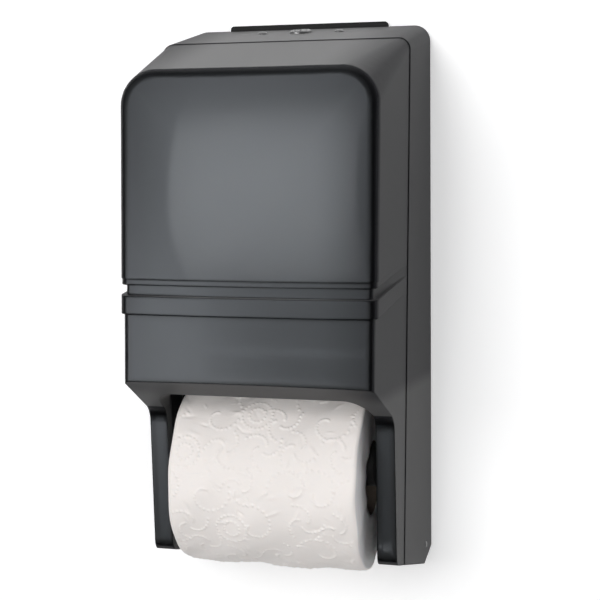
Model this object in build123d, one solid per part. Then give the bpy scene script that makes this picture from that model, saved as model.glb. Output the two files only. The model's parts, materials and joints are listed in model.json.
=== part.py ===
from build123d import *
import math
import os

# All sizes are millimetres. X is right, +Y runs to the wall, Z is up from the cover's lowest edge.

# Cover, outer form
COVER_DEPTH = 144.0  # wall to the middle of the front face
COVER_TOP = 329.6  # cover's top edge at the wall
SEAM_DROP = 16.9  # fall of the top from the wall to the fine step line
FRONT_DROP = 41.8  # fall of the top from the wall to the front face
SEAM_DEPTH = 63.7  # wall to the step line
REAR_HALF_TOP = 76.2
REAR_HALF_LOW = 81.1
SEAM_HALF = 73.4
FRONT_HALF = 70.0
REAR_CORNER_R = 10.0
SEAM_CORNER_R = 6.5
FRONT_CORNER_R = 21.0
FRONT_EDGE_R = 6.0
FRONT_BOW = 1.8  # how far the front face bulges in plan
STEP = 0.5  # height of the step at the line
WALL = 2.5
FLATS = 3  # flats in each round corner of the inside
INNER_BEVEL = 2.0
REAR_GAP = 0.8  # cover's back edge to the wall

# Front bands
GROOVE_TOP = 174.7
GROOVE_LOW = 168.9
GROOVE_IN = 3.2
RIB_LOW = 159.0
PANEL_IN = 1.8
BEAD_H = 3.2
BEAD_OUT = 0.5
BAND_RISE = 0.13  # rise of the bands along the sides, towards the wall

# Side outline below the front panel
PANEL_LOW = 124.3
CHEEK_DEPTH = 92.2
CHEEK_TOP = 100.3
CHEEK_R = 13.0
FOOT_DEPTH = 82.2
FOOT_Z = 15.8
FOOT_R = 8.0
TAIL_DEPTH = 18.0
TAIL_RISE = 0.44
OPEN_HALF = 61.0
OPEN_TOP = 114.0
OPEN_R = 13.0
TAIL_NOTCH_HALF = 75.0  # the tail is open between the cheeks' side walls
TAIL_NOTCH_DEPTH = 27.0
LIP_DEEP = 7.0
LIP_T = 2.2

# Wall plate
PLATE_T = 2.5
PLATE_LOW = 5.0
PLATE_DROP = 8.1  # below the cover's top
RIM_DEEP = 5.5
RIM_T = 2.0
STRIP_HALF = 50.5
STRIP_RISE = 2.8  # above the cover's top
ORIGIN_Z = 165.0  # screw pattern's centre, which is the part's origin
SCREW_X = 45.0
SCREW_Z = 120.0
SCREW_HOLE_R = 2.75

# Hinge
PIN_DEPTH = 14.0
PIN_Z = 11.2
PIN_R = 2.0
PIN_CLEAR = 0.05
LUG_INSET = 8.0  # lug's inner face, in from the plate's edge
LUG_WIDE = 6.0
LUG_R = 7.0

# Rolls and spindles
ROLL_R = 54.0
ROLL_HALF = 54.0
CORE_IN_R = 20.5
CORE_T = 1.0
SPINDLE_R = 12.5
ROLL_GAP = 5.0  # roll to wall
LOWER_Z = 68.2
RESERVE_Z = 235.7
TIP_R = 4.0
SEAT_CLEAR = 0.3
BARREL_ROOM = 4.5  # barrel's end to the track
TIP_THROUGH = 2.2  # tip into the track
SLEEVE_END = 18.0
PLUNGER_R = 10.0
PLUNGER_CLEAR = 0.1
PLUNGER_START = -8.0
SPRING_R = 7.0
SPRING_WIRE_R = 0.7
SPRING_TURNS = 6

# Tracks and catches
ROLL_ROOM = 8.0  # roll's end to the track
TRACK_T = 2.5
FLANGE_WIDE = 5.3  # beyond the track
FLANGE_SCREW_IN = 2.6  # in from the flange's edge
CATCH_GAP = 1.0
CATCH_T = 2.0
CATCH_Z = 264.0
CATCH_PIN_R = 2.0
BAR_R = 2.5
BAR_Z = 132.0
TRACK_SCREWS = (36.0, 150.0, 292.0)

# Lock, measured along its own tilted axis from the cover's top skin
LOCK_DEPTH = 22.0
LOCK_FACE_R = 6.4
LOCK_FACE_H = 1.6
BARREL_R = 5.5
BARREL_LOW = -17.0
PLUG_R = 4.0
PLUG_CLEAR = 0.06
CAM_TOP = -18.4
CAM_T = 2.0
CAM_HALF = 4.5
CAM_REACH = 13.0
LOCK_PLATE_T = 1.2
RIVET_X = 24.0
STRIKE_IN = 7.5
STRIKE_OUT = 14.0
STRIKE_X = 11.0
STRIKE_DROPS = (36.1, 28.6)  # its screws, below the cover's top

# What follows from the sizes above
SEAM_TOP = COVER_TOP - SEAM_DROP
FRONT_TOP = COVER_TOP - FRONT_DROP
PLATE_TOP = COVER_TOP - PLATE_DROP
STRIP_TOP = COVER_TOP + STRIP_RISE
HIGH = COVER_TOP + 70.4
FAR = COVER_DEPTH + 31.0
TRACK_IN = ROLL_HALF + ROLL_ROOM
FLANGE_OUT = TRACK_IN + TRACK_T + FLANGE_WIDE
FLANGE_SCREW_X = FLANGE_OUT - FLANGE_SCREW_IN
PLATE_HALF = FLANGE_OUT + 0.2 + RIM_T
CATCH_IN = TRACK_IN - CATCH_GAP - CATCH_T
LUG_IN = PLATE_HALF - LUG_INSET
LUG_OUT = LUG_IN + LUG_WIDE
BARREL_HALF = TRACK_IN - BARREL_ROOM
TIP_HALF = TRACK_IN + TIP_THROUGH
SPINDLE_DEPTH = ROLL_R + ROLL_GAP
CATCH_DEPTH = SPINDLE_DEPTH + 2.0
BAR_DEPTH = SPINDLE_DEPTH - 4.0
TOP_TILT = math.atan((COVER_TOP - SEAM_TOP - STEP) / (SEAM_DEPTH - REAR_GAP))
ROLL_DROP = CORE_IN_R - SPINDLE_R - SEAT_CLEAR
LOW = -10.0


def lerp(a, b, t):
    return a + (b - a) * t


def flatted(face, half_low, flats):
    """The same slice with each round corner made of a few flats, for the inside."""
    points = []
    for arc in face.edges().filter_by(GeomType.CIRCLE).sort_by(Axis.X, reverse=True):
        run = [arc @ (k / flats) for k in range(flats + 1)]
        points += sorted(run, key=lambda p: p.Y, reverse=bool(points))
    return make_face(Polyline((-half_low, LOW), (half_low, LOW), *points, close=True))


def slice_at(depth, half_low, half_top, top, radius, flats):
    """One rounded upright slice across the cover."""
    corners = [(-half_low, LOW), (half_low, LOW), (half_top, top), (-half_top, top)]
    face = make_face(Polyline(*corners, close=True))
    face = fillet(face.vertices().group_by(Axis.Y)[-1], max(radius, 1.0))
    if flats:
        face = flatted(face, half_low, flats)
    return Plane.XZ.offset(depth) * face


def rear_slice(depth, inset, flats=0):
    t = (depth - REAR_GAP) / (SEAM_DEPTH - REAR_GAP)
    half_low = lerp(REAR_HALF_LOW, SEAM_HALF, t)
    half_top = lerp(REAR_HALF_TOP, SEAM_HALF, t)
    top = lerp(COVER_TOP, SEAM_TOP, t)
    radius = lerp(REAR_CORNER_R, SEAM_CORNER_R, t)
    return slice_at(depth, half_low - inset, half_top - inset, top - inset, radius - inset, flats)


def front_slice(depth, seam_inset, front_inset, flats=0):
    t = (depth - SEAM_DEPTH) / (COVER_DEPTH - SEAM_DEPTH)
    inset = lerp(seam_inset, front_inset, t)
    half = lerp(SEAM_HALF, FRONT_HALF, t) - inset
    top = lerp(SEAM_TOP, FRONT_TOP, t) - min(inset, WALL)
    radius = lerp(SEAM_CORNER_R, FRONT_CORNER_R, t) - inset
    return slice_at(depth, half, half, top, radius, flats)


def bowed_plan(inset):
    """Plan outline whose front edge is the shallow bow of the front face."""
    side = 90.0
    sag = FRONT_BOW * (side / FRONT_HALF) ** 2
    front = -(COVER_DEPTH - inset)
    bow = ThreePointArc((-side, front + sag), (0, front), (side, front + sag))
    rest = Polyline((side, front + sag), (side, 10), (-side, 10), (-side, front + sag))
    return extrude(Plane.XY.offset(-20) * make_face(bow + rest), HIGH)


def front_body(seam_inset, front_inset, flats=0):
    """The tapering body ahead of the step line, with its rolled front edge."""
    near = front_slice(SEAM_DEPTH - 2, seam_inset, front_inset, flats)
    far = front_slice(COVER_DEPTH + 4, seam_inset, front_inset, flats)
    body = loft([near, far], ruled=True) & bowed_plan(front_inset)
    front = body.faces().sort_by(Axis.Y)[0]
    edges = front.edges().filter_by(lambda e: e.center().Z > LOW + 1)
    if flats:
        return chamfer(edges, INNER_BEVEL)
    return fillet(edges, max(FRONT_EDGE_R - front_inset, 2.0))


def slab(low, high):
    """Everything between two heights on the front face; both faces rise towards the wall."""
    fall = (FAR - COVER_DEPTH) * BAND_RISE
    rise = (COVER_DEPTH - 5) * BAND_RISE
    outline = [(-FAR, low - fall), (-5, low + rise), (-5, high + rise), (-FAR, high - fall)]
    return extrude(Plane.YZ * make_face(Polyline(*outline, close=True)), 100, both=True)


def side_outline(rear, inset):
    """Side view of the cover below its top: tail, foot, cheek and the slope under the front."""
    slope = (PANEL_LOW - CHEEK_TOP) / (COVER_DEPTH - CHEEK_DEPTH)
    out = COVER_DEPTH + 20
    corners = [
        (rear, (rear + TAIL_DEPTH) * TAIL_RISE),
        (-TAIL_DEPTH, 0),
        (-FOOT_DEPTH, FOOT_Z),
        (-CHEEK_DEPTH, CHEEK_TOP),
        (-out, CHEEK_TOP + slope * (out - CHEEK_DEPTH)),
        (-out, HIGH),
        (rear, HIGH),
    ]
    face = make_face(Polyline(*corners, close=True))
    if inset:
        face = offset(face, -inset, kind=Kind.INTERSECTION)
    for (y, z), radius in ((corners[3], CHEEK_R), (corners[2], FOOT_R), (corners[1], 2.0)):
        near = sorted(face.vertices(), key=lambda v: math.hypot(v.X - y, v.Y - z))[0]
        face = fillet(near, radius)
    return extrude(Plane.YZ * face, 100, both=True)


def cover_block():
    """Outer form of the cover as one block, with the step line, groove, rib and lower panel."""
    rear = loft([rear_slice(REAR_GAP, 0), rear_slice(SEAM_DEPTH, -STEP)], ruled=True)
    front = front_body(0, 0)
    bead = slab(GROOVE_TOP, GROOVE_TOP + BEAD_H)
    front = front - (slab(GROOVE_LOW, GROOVE_TOP) - front_body(0, GROOVE_IN))
    front = front - (slab(LOW - 5, RIB_LOW) - front_body(0, PANEL_IN))
    front = front - (bead - front_body(0, BEAD_OUT))
    return (rear + front) & side_outline(-REAR_GAP, 0)


def cover_hollow(wall):
    """The space inside the cover for a given wall thickness."""
    rear = loft([rear_slice(-6, wall, FLATS), rear_slice(SEAM_DEPTH, wall - STEP, FLATS)], ruled=True)
    upper = front_body(wall, wall, FLATS) & slab(GROOVE_TOP + WALL, HIGH)
    band = front_body(wall, wall + GROOVE_IN, FLATS) & slab(RIB_LOW - 2, GROOVE_TOP + WALL)
    lower = front_body(wall, wall + PANEL_IN, FLATS) & slab(LOW - 5, RIB_LOW - 2)
    return (rear + upper + band + lower) & side_outline(20, wall)


def opening(grow):
    """Roll opening seen from the front: straight sides, rounded top corners."""
    height = OPEN_TOP + 40 + grow
    face = Rectangle(2 * (OPEN_HALF + grow), height)
    face = fillet(face.vertices().group_by(Axis.Y)[-1], OPEN_R + grow)
    return extrude(Plane.XZ.offset(-30) * Pos(0, OPEN_TOP + grow - height / 2) * face, FAR + 25)


def lock_plane():
    z = COVER_TOP - (LOCK_DEPTH - REAR_GAP) * math.tan(TOP_TILT)
    normal = (0, -math.sin(TOP_TILT), math.cos(TOP_TILT))
    return Plane(origin=(0, -LOCK_DEPTH, z), x_dir=(1, 0, 0), z_dir=normal)


def rod(x_from, x_to, depth, z, radius):
    """A cylinder along X between two stations."""
    return Pos((x_from + x_to) / 2, -depth, z) * Rot(0, 90, 0) * Cylinder(radius, abs(x_to - x_from))


def box(x0, x1, y0, y1, z0, z1):
    return Pos((x0 + x1) / 2, (y0 + y1) / 2, (z0 + z1) / 2) * Box(abs(x1 - x0), abs(y1 - y0), abs(z1 - z0))


def drum(z_low, z_high, radius):
    """A cylinder on the lock's axis."""
    return Pos(0, 0, (z_low + z_high) / 2) * Cylinder(radius, z_high - z_low)


def cover():
    block = cover_block()
    shell = block - cover_hollow(WALL)
    lip = (block & opening(LIP_T)) - cover_hollow(LIP_DEEP)
    lip = lip & box(-90, 90, -FAR - 25, -TAIL_NOTCH_DEPTH, -5, 200)
    shell = (shell + lip) - opening(0)
    shell = shell - box(-TAIL_NOTCH_HALF, TAIL_NOTCH_HALF, -TAIL_NOTCH_DEPTH, 5, -5, 18)
    for side in (-1, 1):
        boss = rod(side * (LUG_OUT + 1), side * 90, PIN_DEPTH, PIN_Z, 5.0) & block
        shell = shell + boss
    shell = shell - rod(-90, 90, PIN_DEPTH, PIN_Z, PIN_R + PIN_CLEAR)
    shell = shell - box(-STRIP_HALF - 1, STRIP_HALF + 1, -PLATE_T - 0.7, 5, COVER_TOP - 29.6, HIGH)
    lock_hole = lock_plane().location * drum(-8, 3, BARREL_R + 0.1)
    shell = shell - lock_hole
    for side in (-1, 1):
        hole = lock_plane().location * (Pos(side * RIVET_X, 0, 0) * drum(-8, 3, 1.6))
        shell = shell - hole
    return shell


def ribbed_plate():
    plate = box(-PLATE_HALF, PLATE_HALF, -PLATE_T, 0, PLATE_LOW, PLATE_TOP)
    plate = fillet(plate.edges().filter_by(Axis.Y), 7.0)
    rim_outer = box(-PLATE_HALF, PLATE_HALF, -PLATE_T - RIM_DEEP, -PLATE_T, PLATE_LOW, PLATE_TOP)
    rim_outer = fillet(rim_outer.edges().filter_by(Axis.Y), 7.0)
    inner_half = PLATE_HALF - RIM_T
    rim_inner = box(-inner_half, inner_half, -20, 0, PLATE_LOW + RIM_T, PLATE_TOP - RIM_T)
    rim_inner = fillet(rim_inner.edges().filter_by(Axis.Y), 5.0)
    return plate + (rim_outer - rim_inner)


def wall_plate():
    plate = ribbed_plate()
    strip = box(-STRIP_HALF, STRIP_HALF, -PLATE_T, 0, PLATE_TOP - 10, STRIP_TOP)
    tips = strip.edges().filter_by(Axis.Y).filter_by(lambda e: e.center().Z > STRIP_TOP - 1)
    plate = plate + fillet(tips, 2.2)
    for z in (128.0, 144.0, 160.0):
        plate = plate + box(-52, 52, -PLATE_T - 4, -PLATE_T, z - 1, z + 1)
    for x in (-30.0, 0.0, 30.0):
        plate = plate + box(x - 1, x + 1, -PLATE_T - 4, -PLATE_T, 128, 160)
    plate = plate + box(-52, 4, -PLATE_T - 3, -PLATE_T, COVER_TOP - 29.6, COVER_TOP - 27.6)
    for side in (-1, 1):
        lug = rod(side * LUG_IN, side * LUG_OUT, PIN_DEPTH, PIN_Z, LUG_R)
        arm = box(side * LUG_IN, side * LUG_OUT, -PIN_DEPTH, -1, PIN_Z - LUG_R + 1.5, PIN_Z + LUG_R)
        plate = plate + lug + arm
        for z in TRACK_SCREWS:
            plate = plate - Pos(side * FLANGE_SCREW_X, -PLATE_T, z) * Rot(90, 0, 0) * Cylinder(1.55, 4.4)
    plate = plate - rod(-90, 90, PIN_DEPTH, PIN_Z, PIN_R + 0.03)
    for x in (-SCREW_X, SCREW_X):
        for z in (ORIGIN_Z - SCREW_Z, ORIGIN_Z + SCREW_Z):
            plate = plate - Pos(x, 0, z) * Rot(90, 0, 0) * Cylinder(SCREW_HOLE_R, 20)
    for drop in STRIKE_DROPS:
        plate = plate - Pos(STRIKE_X, -PLATE_T, COVER_TOP - drop) * Rot(90, 0, 0) * Cylinder(1.55, 4.4)
    return plate


def slot_cut(y0, z0, y1, z1, radius):
    """A round-ended slot through a track, from one station to another."""
    length = math.hypot(y1 - y0, z1 - z0)
    angle = math.degrees(math.atan2(z1 - z0, y1 - y0))
    face = Pos((y0 + y1) / 2, (z0 + z1) / 2) * Rot(0, 0, angle) * SlotCenterToCenter(length, 2 * radius)
    return extrude(Plane.YZ * face, 90, both=True)


def track(side):
    """Side plate that guides the spindle ends: one long channel with a mouth at its top."""
    outline = [
        (-PLATE_T, 24), (-73, 24), (-82.5, 106.5), (-104, 117),
        (-106, 127), (-106, 262), (-92, 284), (-30, 298), (-PLATE_T, 298),
    ]
    face = make_face(Polyline(*outline, close=True))
    face = fillet([v for v in face.vertices() if v.X < -20], 5.0)
    plate = extrude(Plane.YZ.offset(TRACK_IN) * face, TRACK_T)
    plate = plate + box(TRACK_IN, FLANGE_OUT, -PLATE_T - 2.5, -PLATE_T, 24, 298)
    for z in (90.0, 205.0):
        plate = plate + box(TRACK_IN + 1, FLANGE_OUT - 1, -24, -PLATE_T - 1, z - 1, z + 1)
    seat = TIP_R + SEAT_CLEAR
    plate = plate - slot_cut(-SPINDLE_DEPTH, LOWER_Z, -SPINDLE_DEPTH, RESERVE_Z + 5, seat)
    plate = plate - slot_cut(-SPINDLE_DEPTH, RESERVE_Z + 5, -130, RESERVE_Z + 16, seat)
    plate = plate - slot_cut(-34, 120, -34, 176, 8)
    plate = plate - slot_cut(-86, 140, -86, 205, 6)
    plate = plate - rod(50, 75, CATCH_DEPTH, CATCH_Z, CATCH_PIN_R + 0.05)
    for z in TRACK_SCREWS:
        plate = plate - Pos(FLANGE_SCREW_X, -PLATE_T, z) * Rot(90, 0, 0) * Cylinder(1.55, 12)
    return plate if side > 0 else mirror(plate, Plane.YZ)


def pan_screw(x, y_head, z, length):
    """Pan-head screw driven towards the wall, with a cross recess."""
    head = chamfer(Cylinder(2.4, 1.6).edges().sort_by(Axis.Z)[-1], 0.6)
    body = Pos(0, 0, 0.8) * head + Pos(0, 0, -length / 2) * Cylinder(1.5, length)
    for turn in (0, 90):
        body = body - Pos(0, 0, 1.4) * Rot(0, 0, turn) * Box(2.6, 0.7, 1.6)
    return Pos(x, y_head, z) * Rot(90, 0, 0) * body


def hinge_pin(side):
    surface = lerp(REAR_HALF_LOW, SEAM_HALF, (PIN_DEPTH - REAR_GAP) / (SEAM_DEPTH - REAR_GAP))
    pin = rod(side * (LUG_IN - 1.4), side * (surface + 0.3), PIN_DEPTH, PIN_Z, PIN_R)
    end = pin.edges().sort_by(Axis.X)[-1 if side > 0 else 0]
    pin = chamfer(end, 0.5)
    head = rod(side * (LUG_IN - 1.4), side * LUG_IN, PIN_DEPTH, PIN_Z, 3.2)
    return pin + head


def catch_arm(side):
    """Swinging arm whose toe carries one end of the reserve spindle."""
    back = -(SPINDLE_DEPTH - 9.5)
    line = [
        (-CATCH_DEPTH, CATCH_Z), (back, 242), (back, 226), (-BAR_DEPTH, BAR_Z),
    ]
    face = Pos(*line[0]) * Circle(7.0) + Pos(*line[3]) * Circle(5.0)
    for (y0, z0), (y1, z1) in zip(line, line[1:]):
        length = math.hypot(y1 - y0, z1 - z0)
        angle = math.degrees(math.atan2(z1 - z0, y1 - y0))
        face = face + Pos((y0 + y1) / 2, (z0 + z1) / 2) * Rot(0, 0, angle) * SlotCenterToCenter(length, 7.4)
    toe_top = RESERVE_Z - TIP_R - SEAT_CLEAR
    face = face + Pos(-(SPINDLE_DEPTH - 3.5), toe_top - 4) * Rectangle(15, 8)
    face = face - Pos(*line[0]) * Circle(CATCH_PIN_R + 0.06) - Pos(*line[3]) * Circle(1.65)
    arm = extrude(Plane.YZ.offset(CATCH_IN) * face, CATCH_T)
    return arm if side > 0 else mirror(arm, Plane.YZ)


def catch_pin(side):
    pin = rod(side * (CATCH_IN - 0.2), side * (TRACK_IN + TRACK_T + 1.5), CATCH_DEPTH, CATCH_Z, CATCH_PIN_R)
    head = rod(side * (TRACK_IN + TRACK_T), side * (TRACK_IN + TRACK_T + 1.6), CATCH_DEPTH, CATCH_Z, 3.6)
    return pin + head


def trip_bar():
    bar = rod(-CATCH_IN, CATCH_IN, BAR_DEPTH, BAR_Z, BAR_R)
    ends = rod(-CATCH_IN - CATCH_T, CATCH_IN + CATCH_T, BAR_DEPTH, BAR_Z, 1.6)
    return bar + ends


def spindle_sleeve(z):
    sleeve = rod(-BARREL_HALF, SLEEVE_END, SPINDLE_DEPTH, z, SPINDLE_R)
    sleeve = chamfer(sleeve.edges().filter_by(GeomType.CIRCLE), 1.2)
    sleeve = sleeve + rod(-TIP_HALF, -BARREL_HALF + 1, SPINDLE_DEPTH, z, TIP_R)
    tip = sleeve.edges().filter_by(GeomType.CIRCLE).sort_by(Axis.X)[0]
    sleeve = chamfer(tip, 0.8)
    return sleeve - rod(-BARREL_HALF + 6, SLEEVE_END + 1, SPINDLE_DEPTH, z, PLUNGER_R + PLUNGER_CLEAR)


def spindle_plunger(z):
    stem = rod(PLUNGER_START, BARREL_HALF - 8, SPINDLE_DEPTH, z, PLUNGER_R)
    collar = rod(BARREL_HALF - 20, BARREL_HALF, SPINDLE_DEPTH, z, SPINDLE_R)
    collar = chamfer(collar.edges().filter_by(GeomType.CIRCLE), 1.2)
    plunger = stem + collar + rod(BARREL_HALF - 1, TIP_HALF, SPINDLE_DEPTH, z, TIP_R)
    tip = plunger.edges().filter_by(GeomType.CIRCLE).sort_by(Axis.X)[-1]
    plunger = chamfer(tip, 0.8)
    return plunger - rod(PLUNGER_START - 1, 24, SPINDLE_DEPTH, z, 4.0)


def coil(z):
    """Compression spring as one unbroken length of six-sided wire along X."""
    start = -BARREL_HALF + 6.4 + SPRING_WIRE_R
    end = PLUNGER_START - 0.4 - SPRING_WIRE_R
    pitch = (end - start) / SPRING_TURNS
    points = []
    for k in range(8 * SPRING_TURNS + 1):
        a = k * math.pi / 4
        points.append((start + pitch * k / 8, SPRING_R * math.cos(a), SPRING_R * math.sin(a)))
    path = Spline(*points)
    tangent = path % 0
    wire = RegularPolygon(SPRING_WIRE_R, 6)
    tube = sweep(Plane(origin=points[0], z_dir=tangent) * wire, path=path)
    print("coil gap", round(pitch - 2 * SPRING_WIRE_R, 2))
    return Pos(0, -SPINDLE_DEPTH, z) * tube


def roll_core(z):
    half = ROLL_HALF - 0.4
    centre = z - ROLL_DROP
    tube = rod(-half, half, SPINDLE_DEPTH, centre, CORE_IN_R + CORE_T)
    return tube - rod(-half - 1, half + 1, SPINDLE_DEPTH, centre, CORE_IN_R)


def roll_paper(z):
    centre = z - ROLL_DROP
    paper = rod(-ROLL_HALF, ROLL_HALF, SPINDLE_DEPTH, centre, ROLL_R)
    paper = chamfer(paper.edges().filter_by(GeomType.CIRCLE), 1.4)
    return paper - rod(-ROLL_HALF - 1, ROLL_HALF + 1, SPINDLE_DEPTH, centre, CORE_IN_R + CORE_T + 0.1)


def lock_housing():
    face = drum(0, LOCK_FACE_H, LOCK_FACE_R)
    face = chamfer(face.edges().sort_by(Axis.Z)[-1], 0.6)
    body = face + drum(BARREL_LOW, 0, BARREL_R)
    return lock_plane().location * (body - drum(BARREL_LOW - 1, 3, PLUG_R + PLUG_CLEAR))


def lock_plug():
    body = drum(CAM_TOP + 0.2, LOCK_FACE_H - 0.2, PLUG_R)
    body = body - Pos(0, 0, LOCK_FACE_H) * Box(1.2, 5.2, 6)
    tail = Pos(0, 0, CAM_TOP - 0.9) * Box(4, 4, 2.6)
    body = body + tail - drum(CAM_TOP - 5, CAM_TOP + 0.6, 1.05)
    return lock_plane().location * body


def lock_cam():
    face = Circle(5.6) + Pos(0, (CAM_REACH - CAM_HALF) / 2) * Rectangle(2 * CAM_HALF, CAM_REACH - CAM_HALF)
    face = face + Pos(0, CAM_REACH - CAM_HALF) * Circle(CAM_HALF)
    face = face - Rectangle(4.1, 4.1)
    return lock_plane().location * (Pos(0, 0, CAM_TOP - CAM_T) * extrude(face, CAM_T))


def cam_screw():
    top = CAM_TOP - CAM_T - 0.25
    head = drum(top - 1.4, top, 3.4)
    shank = drum(top - 0.1, CAM_TOP + 0.4, 1.0)
    screw = head + shank
    screw = screw - Pos(0, 0, top - 1.4) * Box(0.8, 5.0, 1.2)
    return lock_plane().location * screw


def lock_nut():
    top = -WALL - LOCK_PLATE_T
    body = Pos(0, 0, top - 3.4) * extrude(RegularPolygon(7.8, 6), 3.4)
    return lock_plane().location * (body - drum(-20, 3, BARREL_R + 0.05))


def lock_plate():
    face = fillet(Rectangle(60, 17).vertices(), 3) - Circle(BARREL_R + 0.05)
    for side in (-1, 1):
        face = face - Pos(side * RIVET_X, 0) * Circle(1.6)
    return lock_plane().location * (Pos(0, 0, -WALL - LOCK_PLATE_T) * extrude(face, LOCK_PLATE_T))


def rivet(side):
    head = drum(0, 1.1, 2.75)
    head = chamfer(head.edges().sort_by(Axis.Z)[-1], 0.6)
    under = -WALL - LOCK_PLATE_T
    body = head + drum(under - 0.1, 0, 1.5) + drum(under - 1.0, under, 2.6)
    return lock_plane().location * (Pos(side * RIVET_X, 0, 0) * body)


def strike():
    """J-shaped keeper: the cam's arm turns in behind its front lip."""
    top = CAM_TOP + 0.5
    bar = box(STRIKE_IN, STRIKE_OUT, -6.8, 14.6, top, top + 1.5)
    lip = box(STRIKE_IN, STRIKE_OUT, -6.8, -5.3, CAM_TOP - CAM_T - 1, top + 1)
    hook = lock_plane().location * (bar + lip)
    hook = hook & box(0, 30, -60, -PLATE_T, COVER_TOP - 49.6, HIGH)
    foot, head = COVER_TOP - 40.6, COVER_TOP - 16.2
    base = box(STRIKE_IN - 1, STRIKE_OUT + 1, -PLATE_T - 1.2, -PLATE_T, foot, head)
    for drop in STRIKE_DROPS:
        base = base - Pos(STRIKE_X, -PLATE_T, COVER_TOP - drop) * Rot(90, 0, 0) * Cylinder(1.6, 10)
    return base + hook


def save(name, shape):
    moved = Pos(0, 0, -ORIGIN_Z) * shape
    solids = moved.solids()
    solid = solids[0] if len(solids) == 1 else Compound(children=list(solids))
    print(name, len(solids), "valid" if all(s.is_valid for s in solids) else "NOT VALID")
    export_step(solid, f"parts/{name}.step")


def main():
    os.makedirs("parts", exist_ok=True)
    save("wall_plate", wall_plate())
    save("cover", cover())
    for name, side in (("left", -1), ("right", 1)):
        save(f"{name}_track", track(side))
        save(f"{name}_hinge_pin", hinge_pin(side))
        save(f"{name}_catch", catch_arm(side))
        save(f"{name}_catch_pin", catch_pin(side))
        save(f"{name}_rivet", rivet(side))
        for place, z in zip(("lower", "middle", "upper"), TRACK_SCREWS):
            save(f"{name}_{place}_track_screw", pan_screw(side * FLANGE_SCREW_X, -PLATE_T - 2.5, z, 4.4))
    for place, z in (("lower", LOWER_Z), ("reserve", RESERVE_Z)):
        save(f"{place}_spindle_sleeve", spindle_sleeve(z))
        save(f"{place}_spindle_plunger", spindle_plunger(z))
        save(f"{place}_spindle_spring", coil(z))
        save(f"{place}_core", roll_core(z))
        save(f"{place}_paper", roll_paper(z))
    save("trip_bar", trip_bar())
    save("lock_housing", lock_housing())
    save("lock_plug", lock_plug())
    save("lock_cam", lock_cam())
    save("cam_screw", cam_screw())
    save("lock_nut", lock_nut())
    save("lock_plate", lock_plate())
    save("strike", strike())
    for place, drop in zip(("lower", "upper"), STRIKE_DROPS):
        save(f"{place}_strike_screw", pan_screw(STRIKE_X, -PLATE_T - 1.2, COVER_TOP - drop, 3.2))


main()
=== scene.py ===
import json
import math

import bpy
import numpy as np
from mathutils import Matrix, Vector


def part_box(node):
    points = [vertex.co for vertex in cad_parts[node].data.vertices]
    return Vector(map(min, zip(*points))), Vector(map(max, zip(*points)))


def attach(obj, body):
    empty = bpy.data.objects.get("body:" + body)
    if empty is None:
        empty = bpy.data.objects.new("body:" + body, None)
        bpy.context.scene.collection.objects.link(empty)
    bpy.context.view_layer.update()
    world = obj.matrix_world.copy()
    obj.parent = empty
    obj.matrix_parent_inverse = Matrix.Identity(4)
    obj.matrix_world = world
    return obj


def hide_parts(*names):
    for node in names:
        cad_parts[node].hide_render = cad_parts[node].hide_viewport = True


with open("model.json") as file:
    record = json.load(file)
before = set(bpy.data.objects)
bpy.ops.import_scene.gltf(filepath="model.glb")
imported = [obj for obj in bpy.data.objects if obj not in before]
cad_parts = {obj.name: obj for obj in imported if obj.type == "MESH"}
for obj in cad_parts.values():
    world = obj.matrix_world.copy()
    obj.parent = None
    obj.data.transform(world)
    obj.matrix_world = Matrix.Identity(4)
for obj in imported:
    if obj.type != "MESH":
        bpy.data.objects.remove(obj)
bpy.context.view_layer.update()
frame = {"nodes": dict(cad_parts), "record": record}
nodes = frame["nodes"]

# Camera, in metres and degrees, fitted to the photograph's edges
IMAGE = 600
FOCAL_PX = 1217.9
TURN = 13.8  # the camera stands to the object's right
PITCH = 3.7
ROLL = 0.3
TARGET = Vector((0.0134, -0.075, -0.0006))
DISTANCE = 0.6979
SENSOR = 36.0

# Wall, sky and lamps, in metres and watts
WALL_GAP = 0.0006
WALL_SIZE = 6.0
WALL_WHITE = 0.86
WALL_GLOW = 0.3
SKY_GREY = 0.9
SKY_BLUE = 1.03
SKY_RISES = (-0.3, 0.5)
SKY_TURNS = (-0.5, 0.5)
SKY_LOW = 0.0
SKY_HIGH = 0.48
SKY_LEFT = 1.0
SKY_RIGHT = 0.88
KEY_AT = (-0.45, -1.75, 0.45)
KEY_TOWARDS = (0, -0.08, 0)
KEY_SIZE = (0.7, 0.7)
KEY_POWER = 13.9
FILL_AT = (0.3, -1.8, -0.3)
FILL_TOWARDS = (0, -0.08, -0.05)
FILL_SIZE = (1.4, 1.0)
FILL_POWER = 13.6
TOP_LIGHT_AT = (-0.1, -0.5, 1.3)
TOP_LIGHT_TOWARDS = (0, -0.08, 0.1)
TOP_LIGHT_SIZE = (0.8, 0.5)
TOP_LIGHT_POWER = 3.5
SOFTBOX_AT = (-1.0, -1.5, -0.35)
SOFTBOX_TOWARDS = (0, -0.1, 0)
SOFTBOX_SIZE = (1.1, 0.8)
SOFTBOX_POWER = 29.0

# The cover's faces. A face's facing is minus the size of its normal's Y: -1 for the front, 0 for a side
FACING_FRONT = -0.8
FACING_DENSE = -0.5  # from here on a face lets no light through
FACING_SIDE = -0.35
ROLL_OVER = (-0.99, -0.88, -0.55, -0.34)  # the band of painted shade round the front rises, then falls, between these
UPWARD = (0.55, 0.85)

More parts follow.
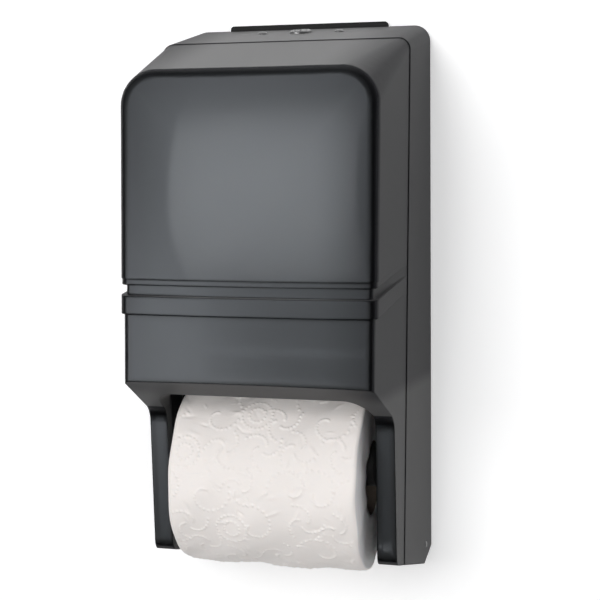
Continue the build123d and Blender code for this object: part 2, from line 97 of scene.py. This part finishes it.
# The cover's smoke
FRONT_TINT = 0.235
PALE = (0.94, 1.0, 1.05)
DEEP = (0.86, 0.92, 0.96)
SIDE_TINT = 0.094
# painted light: faces that look up or down get this lighter grey than the sides
TOP_PAINTED_LIGHT = 0.18
# painted shade: the dark grey of the band where the front rolls over and of the front's border
PAINTED_SHADE_GREY = 0.02
PAINTED_SHADE_BLUE = 1.15
# painted shade: creases are darkened towards this grey
LINE_SHADE_GREY = 0.01
CREASE_R = 0.0017
CREASE_AGREES = (0.86, 0.995)  # a crease fades out as the true and the softened normal agree
CREASE_SHADE = 0.95
SEAM_SHADE = 0.25  # the painted shade on the creases of the sides and top is fainter
PANEL_FOOT = -0.055  # the cheeks below this height have no painted border shade
FOOT_FADE = 0.01
BORDER_FROM = 0.034  # painted shade grows over the front from here to its sides
BORDER_TO = 0.071
BROW_FROM = 0.085  # and from here to its top
BROW_TO = 0.125
# the strength of the painted border shade
BORDER_SHADE = 0.75
CLEARNESS = 0.95
SIDE_CLEARNESS = 0.1
LIGHT_THROUGH = 0.5  # lamp light that one face of the front lets into the cabinet
CLOUD_SCALE = 22.0
SPECK_SCALE = 1300.0

# The cover's gloss
PLASTIC_IOR = 1.27  # low, for the faint gloss of a satin face
SPEC_FRONT = 0.15
SPEC_SIDE = 0.15
SPEC_EDGE = 0.1
EDGE_DULL = 0.8
COOL_GLOSS = (0.88, 0.93, 1.0, 1.0)  # the front's gloss has a faint blue cast
SATIN = 0.3
SATIN_STRAY = 0.012
SIDE_MATTE = 0.5
SMUDGE_SCALE = 14.0
GRAIN_SCALE = 1500.0
GRAIN_H = 0.00003


def place_camera():
    turn, pitch, roll = (math.radians(a) for a in (TURN, PITCH, ROLL))
    ahead = Vector((-math.sin(turn) * math.cos(pitch), math.cos(turn) * math.cos(pitch), -math.sin(pitch)))
    right = Vector((math.cos(turn), math.sin(turn), 0.0))
    up = right.cross(ahead)
    right, up = (
        right * math.cos(roll) + up * math.sin(roll),
        up * math.cos(roll) - right * math.sin(roll),
    )
    data = bpy.data.cameras.new("camera")
    data.sensor_width = SENSOR
    data.lens = FOCAL_PX / IMAGE * SENSOR
    data.clip_start = 0.01
    camera = bpy.data.objects.new("camera", data)
    bpy.context.scene.collection.objects.link(camera)
    turned = Matrix((right, up, -ahead)).transposed().to_4x4()
    camera.matrix_world = Matrix.Translation(TARGET - ahead * DISTANCE) @ turned
    bpy.context.scene.camera = camera


# Node helpers


def add(tree, kind, inputs=None, **settings):
    """A shader node with its settings and unlinked inputs filled in."""
    made = tree.nodes.new(kind)
    for key, value in settings.items():
        setattr(made, key, value)
    for key, value in (inputs or {}).items():
        if isinstance(value, bpy.types.NodeSocket):
            tree.links.new(value, made.inputs[key])
        else:
            made.inputs[key].default_value = value
    return made


def start(name, **sockets):
    material = bpy.data.materials.new(name)
    material.use_nodes = True
    tree = material.node_tree
    shader = tree.nodes["Principled BSDF"]
    for key, value in sockets.items():
        shader.inputs[key.replace("_", " ")].default_value = value
    return material, tree, shader


def place(tree):
    return tree.nodes.new("ShaderNodeTexCoord").outputs


def noise(tree, scale, detail=4.0, rough=0.55, vector=None, stretch=None):
    vector = vector or place(tree)["Object"]
    if stretch:
        mapping = add(tree, "ShaderNodeMapping", {"Vector": vector, "Scale": stretch})
        vector = mapping.outputs["Vector"]
    settings = {"Vector": vector, "Scale": scale, "Detail": detail, "Roughness": rough}
    return add(tree, "ShaderNodeTexNoise", settings).outputs["Fac"]


def ramp(tree, value, low, high, out_low=0.0, out_high=1.0):
    settings = {"Value": value, "From Min": low, "From Max": high, "To Min": out_low, "To Max": out_high}
    return add(tree, "ShaderNodeMapRange", settings, interpolation_type="SMOOTHSTEP").outputs["Result"]


def maths(tree, operation, a, b=0.0):
    return add(tree, "ShaderNodeMath", {0: a, 1: b}, operation=operation).outputs[0]


def blend_colour(tree, factor, a, b):
    made = add(tree, "ShaderNodeMix", data_type="RGBA")
    for socket, value in ((made.inputs["Factor"], factor), (made.inputs[6], a), (made.inputs[7], b)):
        if isinstance(value, bpy.types.NodeSocket):
            tree.links.new(value, socket)
        else:
            socket.default_value = value
    return made.outputs[2]


def bump(tree, shader, height, distance, strength=1.0, over=None):
    """Fine relief on a shader, over a softened normal where one is given."""
    inputs = {"Height": height, "Distance": distance, "Strength": strength}
    if over:
        inputs["Normal"] = over
    made = add(tree, "ShaderNodeBump", inputs)
    tree.links.new(made.outputs["Normal"], shader.inputs["Normal"])


def creases(tree):
    """1 along the thin lines where faces meet, 0 on open faces, and the normal rounded over there."""
    soft = add(tree, "ShaderNodeBevel", {"Radius": CREASE_R}, samples=8).outputs["Normal"]
    true = tree.nodes.new("ShaderNodeNewGeometry").outputs["Normal"]
    agree = add(tree, "ShaderNodeVectorMath", {0: soft, 1: true}, operation="DOT_PRODUCT").outputs["Value"]
    return ramp(tree, agree, *CREASE_AGREES, 1.0, 0.0), soft


def grey(value, blue=1.0, warm=1.0):
    return (value * warm, value, value * blue, 1.0)


# Materials


def cover_faces(tree):
    """How far each face looks forward, aside and upward, and the band where the front rolls over, which is
    painted dark as shade.
    """
    normal = add(tree, "ShaderNodeSeparateXYZ", {"Vector": place(tree)["Normal"]}).outputs
    facing = maths(tree, "MULTIPLY", maths(tree, "ABSOLUTE", normal["Y"]), -1.0)  # inner faces too
    aside = ramp(tree, facing, FACING_FRONT, FACING_SIDE)
    upward = ramp(tree, maths(tree, "ABSOLUTE", normal["Z"]), *UPWARD)
    rises, risen, falls, fallen = ROLL_OVER
    rising = ramp(tree, facing, rises, risen)
    falling = ramp(tree, facing, falls, fallen, 1.0, 0.0)
    return facing, aside, upward, maths(tree, "MULTIPLY", rising, falling)


def painted_border_shade(tree, aside):
    """How strong the painted shade grows towards the front's sides and top."""
    where = add(tree, "ShaderNodeSeparateXYZ", {"Vector": place(tree)["Object"]}).outputs
    border = ramp(tree, maths(tree, "ABSOLUTE", where["X"]), BORDER_FROM, BORDER_TO, 0.0, BORDER_SHADE)
    border = maths(tree, "MULTIPLY", border, ramp(tree, where["Z"], PANEL_FOOT, PANEL_FOOT + FOOT_FADE))
    brow = ramp(tree, where["Z"], BROW_FROM, BROW_TO, 0.0, BORDER_SHADE)
    brow = maths(tree, "MULTIPLY", brow, maths(tree, "SUBTRACT", 1.0, aside))
    return maths(tree, "MAXIMUM", border, brow)


def smoke_plastic():
    """Dark see-through plastic: hazy front, denser sides, with painted shade on the band where its edges
    roll over, along its creases and towards the front's sides and top, and with painted light on faces
    that look up or down.
    """
    material, tree, shader = start("smoke_plastic", Transmission_Weight=CLEARNESS, IOR=PLASTIC_IOR)
    facing, aside, upward, edge = cover_faces(tree)
    # painted shade: the creases are darkened in colour, more on the front than on sides and top
    crease, rounded = creases(tree)
    darkness = ramp(tree, facing, FACING_FRONT, FACING_SIDE, CREASE_SHADE, SEAM_SHADE)
    crease_shade = maths(tree, "MULTIPLY", crease, darkness)

    clouds = maths(tree, "MULTIPLY", noise(tree, CLOUD_SCALE, detail=3.0), 0.5)
    specks = maths(tree, "MULTIPLY", noise(tree, SPECK_SCALE, detail=2.0), 0.5)
    pale = tuple(FRONT_TINT * c for c in PALE) + (1.0,)
    deep = tuple(FRONT_TINT * c for c in DEEP) + (1.0,)
    tint = blend_colour(tree, maths(tree, "ADD", clouds, specks), deep, pale)
    tint = blend_colour(tree, aside, tint, grey(SIDE_TINT))
    # painted light: faces that look up or down are made lighter than the sides
    tint = blend_colour(tree, upward, tint, grey(TOP_PAINTED_LIGHT))
    # painted shade towards the front's sides and top
    tint = blend_colour(tree, painted_border_shade(tree, aside), tint, grey(PAINTED_SHADE_GREY, blue=PAINTED_SHADE_BLUE))
    # painted shade on the band where the front rolls over
    tint = blend_colour(tree, edge, tint, grey(PAINTED_SHADE_GREY, blue=PAINTED_SHADE_BLUE))
    # painted shade along the creases
    tint = blend_colour(tree, crease_shade, tint, grey(LINE_SHADE_GREY))
    tree.links.new(tint, shader.inputs["Base Color"])

    clear = ramp(tree, facing, FACING_FRONT, FACING_DENSE, CLEARNESS, SIDE_CLEARNESS)
    tree.links.new(clear, shader.inputs["Transmission Weight"])
    shadow_ray = tree.nodes.new("ShaderNodeLightPath").outputs["Is Shadow Ray"]
    let_in = ramp(tree, facing, FACING_FRONT, FACING_DENSE, LIGHT_THROUGH, 0.0)
    let_in = maths(tree, "MULTIPLY", shadow_ray, let_in)
    tree.links.new(maths(tree, "SUBTRACT", 1.0, let_in), shader.inputs["Alpha"])

    shine = ramp(tree, facing, FACING_FRONT, FACING_SIDE, SPEC_FRONT, SPEC_SIDE)
    # the gloss is dulled on the painted shade band and along the creases
    shine = maths(tree, "MULTIPLY", shine, ramp(tree, edge, 0.0, EDGE_DULL, 1.0, SPEC_EDGE))
    shine = maths(tree, "MULTIPLY", shine, maths(tree, "SUBTRACT", 1.0, crease_shade))
    tree.links.new(shine, shader.inputs["Specular IOR Level"])
    cool = blend_colour(tree, aside, COOL_GLOSS, grey(1.0))
    tree.links.new(cool, shader.inputs["Specular Tint"])
    smudge = noise(tree, SMUDGE_SCALE, detail=2.0)
    satin = ramp(tree, smudge, 0.3, 0.7, SATIN - SATIN_STRAY, SATIN + SATIN_STRAY)
    rough = add(tree, "ShaderNodeMix", {"Factor": aside, 2: satin, 3: SIDE_MATTE}, data_type="FLOAT")
    tree.links.new(rough.outputs[0], shader.inputs["Roughness"])
    bump(tree, shader, noise(tree, GRAIN_SCALE, detail=2.0), GRAIN_H, strength=0.5, over=rounded)
    return material


def moulded_plastic(name, colour, rough, grain=0.00005, gloss=0.5):
    """Opaque moulded plastic with a fine spark-eroded grain and slight mottling."""
    material, tree, shader = start(name, IOR=1.48, Specular_IOR_Level=gloss)
    mottle = noise(tree, scale=30.0, detail=4.0)
    darker = tuple(c * 0.75 for c in colour[:3]) + (1.0,)
    tree.links.new(blend_colour(tree, mottle, darker, colour), shader.inputs["Base Color"])
    patch = noise(tree, scale=90.0, detail=4.0)
    tree.links.new(ramp(tree, patch, 0.3, 0.7, rough - 0.06, rough + 0.08), shader.inputs["Roughness"])
    bump(tree, shader, noise(tree, scale=1100.0, detail=3.0), grain, strength=0.6)
    return material


def plated_metal(name, colour, rough, scratch, metallic=1.0):
    """Plated or bare metal with fine brushed lines, dull patches and tiny pits."""
    material, tree, shader = start(name, Metallic=metallic)
    lines = noise(tree, scale=260.0, detail=4.0, stretch=scratch)
    dull = noise(tree, scale=120.0, detail=4.0)
    darker = tuple(c * 0.7 for c in colour[:3]) + (1.0,)
    tree.links.new(blend_colour(tree, dull, darker, colour), shader.inputs["Base Color"])
    tree.links.new(ramp(tree, lines, 0.3, 0.7, rough - 0.08, rough + 0.12), shader.inputs["Roughness"])
    bump(tree, shader, lines, distance=0.00004, strength=0.5)
    return material


def tissue():
    """Soft white paper with faint fibres, a warm tint and a little light through the outer plies."""
    material, tree, shader = start(
        "tissue", Roughness=0.9, Subsurface_Weight=0.12, Subsurface_Scale=0.002, Sheen_Weight=0.15
    )
    shader.inputs["Subsurface Radius"].default_value = (1.0, 0.9, 0.8)
    fibre = noise(tree, scale=700.0, detail=5.0, stretch=(0.35, 1.0, 1.0))
    cloudy = noise(tree, scale=45.0, detail=3.0)
    base = blend_colour(tree, cloudy, (0.885, 0.837, 0.805, 1), (0.935, 0.888, 0.855, 1))
    thin = ramp(tree, fibre, 0.55, 0.8, 0.0, 0.3)
    tree.links.new(blend_colour(tree, thin, base, grey(0.78)), shader.inputs["Base Color"])
    bump(tree, shader, fibre, distance=0.00012, strength=0.5)
    return material


def tissue_ends():
    """The roll's ends: the edges of many wound plies."""
    material, tree, shader = start(
        "tissue_ends", Roughness=0.95, Subsurface_Weight=0.1, Subsurface_Scale=0.002
    )
    rings = noise(tree, scale=1.0, detail=3.0, vector=place(tree)["UV"], stretch=(420.0, 6.0, 1.0))
    shade = blend_colour(tree, rings, grey(0.66, warm=1.02), grey(0.86, warm=1.02))
    tree.links.new(shade, shader.inputs["Base Color"])
    bump(tree, shader, rings, distance=0.0003, strength=0.6)
    return material


def core_board():
    """Grey-brown board wound on a spiral, with fibre flecks."""
    material, tree, shader = start("core_board", Roughness=0.85)
    wave = add(
        tree, "ShaderNodeTexWave",
        {"Vector": place(tree)["Object"], "Scale": 14.0, "Distortion": 0.4, "Detail": 2.0},
        bands_direction="DIAGONAL",
    ).outputs["Fac"]
    flecks = noise(tree, scale=500.0, detail=5.0)
    base = blend_colour(tree, ramp(tree, wave, 0.0, 0.08), (0.14, 0.11, 0.09, 1), (0.28, 0.23, 0.19, 1))
    flecked = blend_colour(tree, ramp(tree, flecks, 0.5, 0.75, 0, 0.5), base, (0.18, 0.14, 0.11, 1))
    tree.links.new(flecked, shader.inputs["Base Color"])
    bump(tree, shader, flecks, distance=0.0001, strength=0.5)
    return material


def repaint(names, material):
    for name in names:
        data = nodes[name].data
        data.materials.clear()
        data.materials.append(material)


# Paper rolls

PLY_COUNT = 700  # vertices round a roll
RUN_COUNT = 220  # vertices along it
EDGE_STEPS = 7
END_STEPS = 10
EDGE_R = 0.0026
MOTIF_PITCH = 0.0225
MOTIF_STRAY = 0.003
RINGS = ((0.0088, 24), (0.0046, 13))  # radius and dots of each ring of a motif
SCROLL_DOTS = 20
SCROLL_R = 0.0026
SCROLL_GROWS = 0.0006  # a curve's radius grows by this at each dot
SCROLL_STEP = 0.27  # and turns by this, in radians
ARMS = 3
ARM_APART = 2.1
ARM_DOTS = 9
ARM_R = 0.003
ARM_GROWS = 0.0011
ARM_STEP = 0.22
DOT_R = 0.0008
DOT_H = 0.00056
DOT_SPREAD = 0.6
CREASES = 330  # short soft folds pressed into the paper
CREASE_LONG = 0.0042
CREASE_WIDE = 0.0010
CREASE_H = 0.00052
FOLD_SIZES = (0.5, 1.3)
FOLD_STRENGTHS = (0.3, 1.0)
FOLD_PILE = 1.3  # folds that lie over each other add up to this at most
PUFF_H = 0.00016
SLACK_H = 0.00050
END_WAVE_H = 0.00035
PUFFS = (7, 9, 22)  # soft waves, and the fewest and most of them round a roll
SLACKS = (5, 3, 9)
END_WAVES = (6, 3, 14)
WAVE_SPAN = 0.34  # about a roll's girth
WAVE_PHASE = 6.28
END_FROM = 0.98  # of the half width
END_SKIN = 0.0004
RIM_FADE = 0.005  # the pressed pattern fades out over this at the roll's ends
RECESS = 0.0006  # the paper's mean surface lies this far inside its solid
BORE_GAP = 0.00005
MARK_REACH = 2.6  # a mark is worked out to this many times its size


def motif(draw):
    """Dot places of one pressed motif: a double ring, a trailing scroll or a three-armed curl."""
    kind = draw.integers(3)
    turn = draw.uniform(0, 2 * math.pi)
    polar = []
    if kind == 0:
        for radius, count in RINGS:
            polar += [(radius, turn + 2 * math.pi * k / count) for k in range(count)]
    elif kind == 1:
        polar += [(SCROLL_R + SCROLL_GROWS * k, turn + SCROLL_STEP * k) for k in range(SCROLL_DOTS)]
    else:
        for arm in range(ARMS):
            first = turn + ARM_APART * arm
            polar += [(ARM_R + ARM_GROWS * k, first + ARM_STEP * k) for k in range(ARM_DOTS)]
    return [(radius * math.cos(a), radius * math.sin(a)) for radius, a in polar]


def dot_places(girth, half, seed):
    """Motifs on a staggered, slightly strayed lattice, whole round the roll."""
    draw = np.random.default_rng(seed)
    columns = round(girth / MOTIF_PITCH)
    places = []
    for i in range(columns):
        for j in range(-3, 4):
            u = (i + 0.5) * girth / columns + draw.normal(0, MOTIF_STRAY)
            v = (j + 0.5 * (i % 2)) * MOTIF_PITCH + draw.normal(0, MOTIF_STRAY)
            places += [(u + x, v + y) for x, y in motif(draw) if abs(v + y) < half]
    return places


def press(around, along, girth, marks):
    """Sum of small soft marks (u, v, angle, long, wide, height), each worked out near its own place."""
    height = np.zeros((len(around), len(along)))
    for u, v, angle, long, wide, high in marks:
        reach = MARK_REACH * max(long, wide)
        du = (around - u + girth / 2) % girth - girth / 2
        rows = np.flatnonzero(np.abs(du) < reach)
        cols = np.flatnonzero(np.abs(along - v) < reach)
        if len(rows) == 0 or len(cols) == 0:
            continue
        x = du[rows][:, None]
        y = (along[cols] - v)[None, :]
        p = (x * math.cos(angle) + y * math.sin(angle)) / long
        q = (y * math.cos(angle) - x * math.sin(angle)) / wide
        height[np.ix_(rows, cols)] += high * np.exp(-(p * p + q * q) / 2)
    return height


def paper_relief(around, along, girth, half, seed):
    """Pressed dots and short folds over the whole outside of a roll."""
    draw = np.random.default_rng(seed + 40)
    spread = DOT_R * DOT_SPREAD
    dots = [(u, v, 0.0, spread, spread, 1.0) for u, v in dot_places(girth, half, seed)]
    folds = []
    for _ in range(CREASES):
        size = draw.uniform(*FOLD_SIZES)
        side = draw.choice((-1.0, 1.0))
        folds.append((
            draw.uniform(0, girth), draw.uniform(-half, half), draw.uniform(0, math.pi),
            CREASE_LONG * size * 0.5, CREASE_WIDE * size * 0.7, side * draw.uniform(*FOLD_STRENGTHS),
        ))
    raised = np.minimum(press(around, along, girth, dots), 1.0)
    folded = np.clip(press(around, along, girth, folds), -FOLD_PILE, FOLD_PILE)
    return raised * DOT_H + folded * CREASE_H


def smooth_waves(u, v, count, low, high, seed):
    """Sum of soft waves, whole round the roll so that it has no seam."""
    draw = np.random.default_rng(seed)
    total = np.zeros_like(u)
    for _ in range(count):
        turns = draw.integers(low, high)
        along = draw.uniform(low, high) / WAVE_SPAN
        phase = draw.uniform(0, WAVE_PHASE)
        total += np.sin(turns * u / u.max() * 2 * math.pi + along * v * 2 * math.pi + phase)
    return total / math.sqrt(count)


def section(radius, inner, half):
    """Half of the roll's outline: along the outside, round the soft edge and down the end, as (x, r)."""
    outline = [(x, radius) for x in np.linspace(-half + EDGE_R, half - EDGE_R, RUN_COUNT)]
    corner = []
    for k in range(1, EDGE_STEPS + 1):
        a = math.pi / 2 * k / EDGE_STEPS
        corner.append((half - EDGE_R + EDGE_R * math.sin(a), radius - EDGE_R + EDGE_R * math.cos(a)))
    end = [(half, r) for r in np.linspace(radius - EDGE_R, inner, END_STEPS + 1)[1:]]
    right = corner + end
    left = [(-x, r) for x, r in right]
    return list(reversed(left)) + outline + right


def paper_roll(name, seed):
    """A wound roll of embossed paper in place of its plain solid."""
    low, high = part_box(name)
    centre = (low + high) / 2
    half = (high.x - low.x) / 2
    radius = (high.z - low.z) / 2 - RECESS
    core_low, core_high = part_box(name.replace("paper", "core"))
    inner = (core_high.z - core_low.z) / 2 + BORE_GAP
    outline = section(radius, inner, half)
    count = len(outline)
    angle = np.linspace(0, 2 * math.pi, PLY_COUNT, endpoint=False)
    xs = np.array([p[0] for p in outline])
    rs = np.array([p[1] for p in outline])
    turn, along = np.meshgrid(angle, xs, indexing="ij")
    around = turn * radius
    girth = 2 * math.pi * radius
    rim = np.clip((half - np.abs(along)) / RIM_FADE, 0, 1)
    rim = rim * rim * (3 - 2 * rim)
    outside = (rs[None, :] > radius - EDGE_R * 0.5) * 1.0
    relief = paper_relief(angle * radius, xs, girth, half, seed)
    puffs = smooth_waves(around, along, *PUFFS, seed) * PUFF_H
    slack = smooth_waves(around, along, *SLACKS, seed + 1) * SLACK_H
    ends = smooth_waves(around, along * 0, *END_WAVES, seed + 2) * END_WAVE_H * np.sign(along) * (1 - rim)
    r = rs[None, :] + (relief + puffs) * rim * outside + slack * outside
    shift = ends * (np.abs(along) > half * END_FROM)
    points = np.stack([along + shift, r * np.cos(turn), r * np.sin(turn)], -1)
    points += np.array(centre)
    mesh = bpy.data.meshes.new(name + "_wound")
    index = np.arange(PLY_COUNT * count).reshape(PLY_COUNT, count)
    nxt = np.roll(index, -1, axis=0)
    quads = np.stack([index[:, :-1], index[:, 1:], nxt[:, 1:], nxt[:, :-1]], -1).reshape(-1, 4)
    bore = np.stack([index[:, -1], index[:, 0], nxt[:, 0], nxt[:, -1]], -1)
    mesh.from_pydata(points.reshape(-1, 3), [], np.vstack([quads, bore]).tolist())
    mesh.update()
    uv = mesh.uv_layers.new(name="UVMap")
    loops = np.zeros(len(mesh.loops), int)
    mesh.loops.foreach_get("vertex_index", loops)
    flat = np.stack([rs[loops % count] * 1.0, (loops // count) / PLY_COUNT], -1)
    uv.data.foreach_set("uv", flat.astype(np.float32).ravel())
    mesh.polygons.foreach_set("use_smooth", np.ones(len(mesh.polygons), bool))
    is_end = np.abs(xs) > half - END_SKIN
    strip = np.tile((is_end[:-1] & is_end[1:]).astype(int), PLY_COUNT)
    end_or_side = np.concatenate([strip, np.ones(PLY_COUNT, int)])
    mesh.materials.append(materials["tissue"])
    mesh.materials.append(materials["tissue_ends"])
    mesh.polygons.foreach_set("material_index", end_or_side)
    roll = bpy.data.objects.new(name + "_wound", mesh)
    bpy.context.scene.collection.objects.link(roll)
    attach(roll, name.replace("paper", "roll"))
    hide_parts(name)


# Stage


def wall():
    """Pale wall behind the object. Its back is clear, so that the object's back can be looked at."""
    mesh = bpy.data.meshes.new("wall")
    half = WALL_SIZE / 2
    corners = ((-half, -half), (half, -half), (half, half), (-half, half))
    mesh.from_pydata([(x, WALL_GAP, z) for x, z in corners], [], [(0, 1, 2, 3)])
    made = bpy.data.objects.new("wall", mesh)
    bpy.context.scene.collection.objects.link(made)
    material, tree, shader = start("wall", Roughness=0.9)
    shader.inputs["Base Color"].default_value = grey(WALL_WHITE)
    shader.inputs["Emission Color"].default_value = grey(1.0)
    shader.inputs["Emission Strength"].default_value = WALL_GLOW
    clear = tree.nodes.new("ShaderNodeBsdfTransparent")
    behind = tree.nodes.new("ShaderNodeNewGeometry").outputs["Backfacing"]
    mixed = add(tree, "ShaderNodeMixShader", {"Fac": behind, 1: shader.outputs[0], 2: clear.outputs[0]})
    tree.links.new(mixed.outputs[0], tree.nodes["Material Output"].inputs["Surface"])
    mesh.materials.append(material)


def lamp(name, at, towards, size, power, mirrored=True, spread=True):
    """A soft light. It can be kept out of the gloss (mirrored) or show only there (spread)."""
    data = bpy.data.lights.new(name, "AREA")
    data.shape = "RECTANGLE"
    data.size, data.size_y = size
    data.energy = power
    made = bpy.data.objects.new(name, data)
    made.location = at
    made.visible_glossy = mirrored
    made.visible_diffuse = spread
    made.rotation_euler = (Vector(towards) - Vector(at)).to_track_quat("-Z", "Y").to_euler()
    bpy.context.scene.collection.objects.link(made)


def light_the_stage():
    """Soft lamps in front and above, a softbox on the left that the gloss shows, and a sky dark below."""
    world = bpy.data.worlds.new("world")
    bpy.context.scene.world = world
    world.use_nodes = True
    tree = world.node_tree
    split = add(tree, "ShaderNodeSeparateXYZ", {"Vector": place(tree)["Generated"]})
    rising = ramp(tree, split.outputs["Z"], *SKY_RISES, SKY_LOW, SKY_HIGH)
    across = ramp(tree, split.outputs["X"], *SKY_TURNS, SKY_LEFT, SKY_RIGHT)
    strength = maths(tree, "MULTIPLY", rising, across)
    tree.links.new(strength, tree.nodes["Background"].inputs["Strength"])
    tree.nodes["Background"].inputs["Color"].default_value = grey(SKY_GREY, blue=SKY_BLUE)
    lamp("key", KEY_AT, KEY_TOWARDS, KEY_SIZE, KEY_POWER, mirrored=False)
    lamp("overhead", TOP_LIGHT_AT, TOP_LIGHT_TOWARDS, TOP_LIGHT_SIZE, TOP_LIGHT_POWER, mirrored=False)
    lamp("fill", FILL_AT, FILL_TOWARDS, FILL_SIZE, FILL_POWER, mirrored=False)
    lamp("softbox", SOFTBOX_AT, SOFTBOX_TOWARDS, SOFTBOX_SIZE, SOFTBOX_POWER, spread=False)
    bpy.context.scene.view_settings.view_transform = "Standard"


place_camera()
materials = {
    "smoke_plastic": smoke_plastic(),
    "black_plastic": moulded_plastic("black_plastic", grey(0.014), 0.5, gloss=0.25),
    "grey_plastic": moulded_plastic("grey_plastic", grey(0.025), 0.6, gloss=0.15),
    "spindle_plastic": moulded_plastic("spindle_plastic", grey(0.022), 0.48),
    "spring_steel": plated_metal("spring_steel", grey(0.5), 0.35, (1, 1, 1)),
    "core_board": core_board(),
    "nickel": plated_metal("nickel", grey(0.34), 0.4, (1, 6, 6)),
    "zinc_steel": plated_metal("zinc_steel", grey(0.58, blue=1.03), 0.38, (6, 1, 6), metallic=0.6),
    "plate_steel": plated_metal("plate_steel", grey(0.5), 0.4, (1, 8, 8)),
    "tissue": tissue(),
    "tissue_ends": tissue_ends(),
}
by_slot = {}
for part in frame["record"]["subparts"]:
    by_slot.setdefault(part["material_slot"], []).append(part["node"])
for slot, names in by_slot.items():
    repaint(names, materials[slot])
paper_roll("lower_paper", 3)
paper_roll("reserve_paper", 8)
wall()
light_the_stage()
